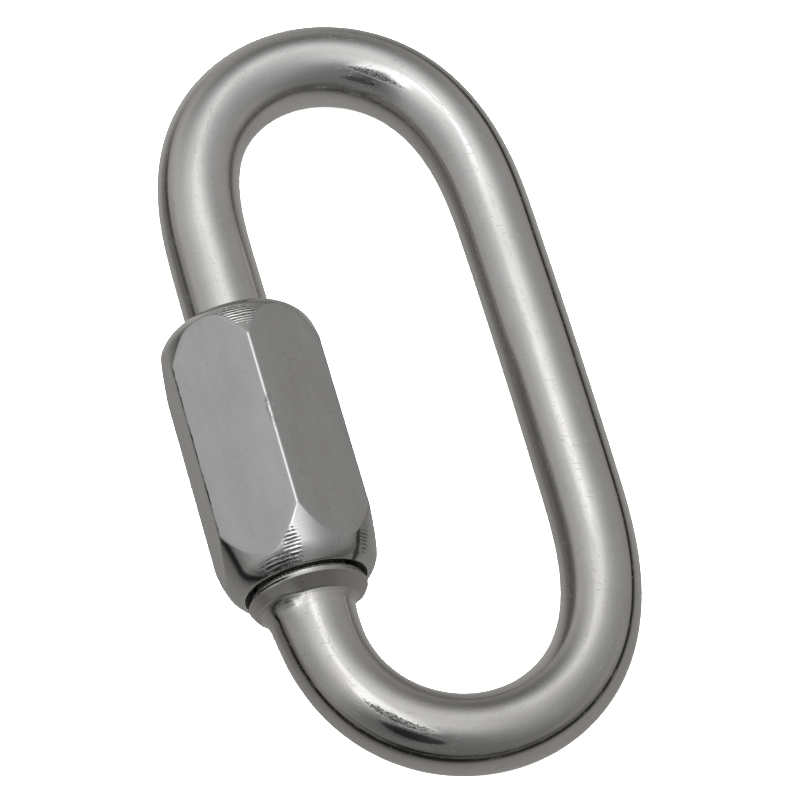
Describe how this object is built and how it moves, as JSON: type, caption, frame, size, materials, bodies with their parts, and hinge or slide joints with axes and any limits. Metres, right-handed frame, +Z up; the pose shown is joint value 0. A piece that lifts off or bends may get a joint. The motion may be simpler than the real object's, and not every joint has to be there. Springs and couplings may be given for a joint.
{
  "type": "chain quick link",
  "caption": "Oval chain quick link of round stainless rod, its gate closed by a long hexagonal sleeve nut that screws down to a collar.",
  "frame": {"origin": "centre of the box round the link as it lies at rest, on the surface it lies on", "axes": "+Y along the link, from the collar's end to the other end; +X from the nut's side to the far side; +Z up"},
  "size_m": [0.0254, 0.0516, 0.0107],
  "materials": {
    "rod_steel": "satin polished stainless rod",
    "nut_steel": "satin stainless hexagon bar with turned ends"
  },
  "bodies": {
    "link": {"link_body": "rod_steel"},
    "nut": {"sleeve_nut": "nut_steel"}
  },
  "joints": [
    {"name": "nut_travel", "type": "slide", "parent": "link", "child": "nut", "axis": [0, 1, 0], "range_m": [0, 0.009]}
  ]
}
